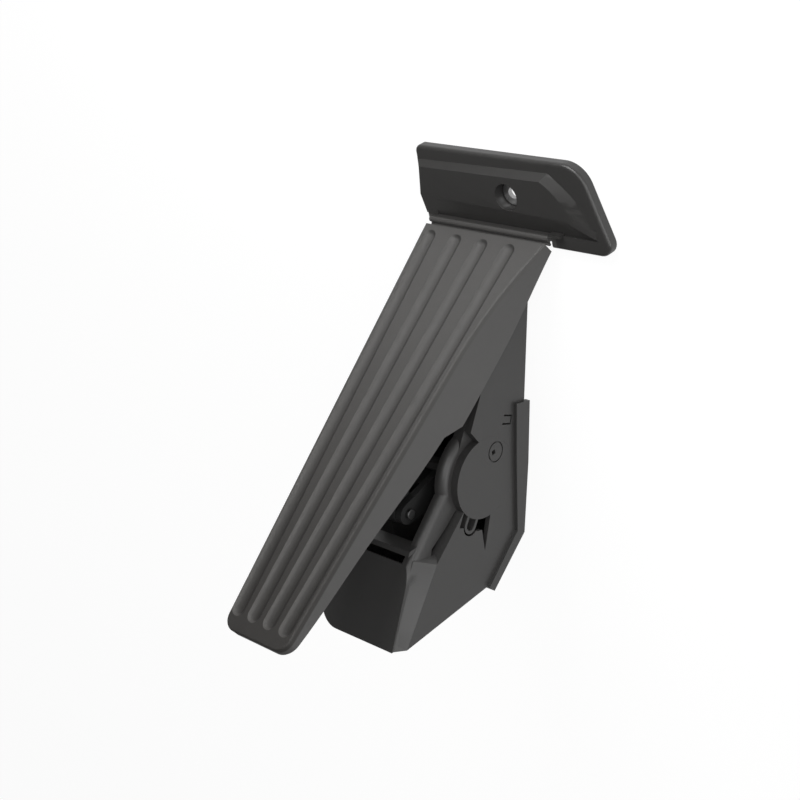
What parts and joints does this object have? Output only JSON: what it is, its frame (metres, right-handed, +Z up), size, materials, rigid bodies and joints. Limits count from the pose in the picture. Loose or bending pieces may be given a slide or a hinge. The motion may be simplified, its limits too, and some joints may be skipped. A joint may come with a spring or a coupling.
{
  "type": "accelerator pedal",
  "caption": "Floor-mounted accelerator pedal: long fluted tread hinged to a heel plate, leaning over a moulded lever housing with return springs and an electronic position sensor",
  "frame": {"origin": "on the floor, at the axis of the fixing hole in the heel plate", "axes": "+X to the driver's right, +Y forward along the floor, +Z up"},
  "size_m": [0.1394, 0.2433, 0.2267],
  "materials": {
    "heel_plastic": "fine satin grain",
    "tread_plastic": "soft grained, slightly brown",
    "housing_plastic": "moulded satin black",
    "cover_plastic": "moulded satin black",
    "lever_plastic": "glass-filled, dull",
    "hinge_plastic": "smooth flexible film",
    "bearing_plastic": "plain natural",
    "rubber": "dull black",
    "steel": "zinc plated",
    "magnet": "sintered grey",
    "board": "green solder mask",
    "chip": "black moulding",
    "brass": "tinned contacts"
  },
  "bodies": {
    "base": {"heel_plate": "heel_plastic", "floor_bush": "steel", "heel_screws": "steel", "hinge_strip": "hinge_plastic", "housing": "housing_plastic", "pivot_cap": "housing_plastic", "shaft_bushes": "bearing_plastic", "return_spring_outer": "steel", "return_spring_inner": "steel", "stop_pad": "rubber", "sensor_board": "board", "sensor_chip": "chip", "sensor_seal": "rubber", "sensor_cover": "cover_plastic", "terminals": "brass", "cover_screws": "steel"},
    "tread": {"tread": "tread_plastic", "rod_pin_front": "steel"},
    "lever": {"lever": "lever_plastic", "pivot_shaft": "steel", "shaft_clip": "steel", "rod_pin_rear": "steel", "rotor": "bearing_plastic", "rotor_magnet": "magnet"},
    "rod": {"link_rod": "lever_plastic"},
    "cup": {"spring_cup": "bearing_plastic"}
  },
  "joints": [
    {"name": "tread_hinge", "type": "hinge", "parent": "base", "child": "tread", "pos_m": [0.0275, 0.025, 0.008], "axis": [1, 0, 0], "range_deg": [-12, 0], "stiffness_Nm_per_rad": 20, "springref_deg": 8.59},
    {"name": "lever_pivot", "type": "hinge", "parent": "base", "child": "lever", "pos_m": [0.0275, 0.1496, 0.0655], "axis": [1, 0, 0], "range_deg": [-20.69, 0]},
    {"name": "rod_pivot", "type": "hinge", "parent": "tread", "child": "rod", "pos_m": [0.0275, 0.0997, 0.10377], "axis": [1, 0, 0], "range_deg": [0, 26.74]},
    {"name": "cup_slide", "type": "slide", "parent": "base", "child": "cup", "axis": [0, 0, -1], "range_m": [0, 0.01027], "deforming": ["return_spring_outer", "return_spring_inner"]}
  ],
  "couplings": [
    {"joint": "lever_pivot", "follows": "tread_hinge", "ratio": 1.7242},
    {"joint": "rod_pivot", "follows": "tread_hinge", "ratio": -2.2283},
    {"joint": "cup_slide", "follows": "tread_hinge", "m_per_rad": -0.049035}
  ]
}
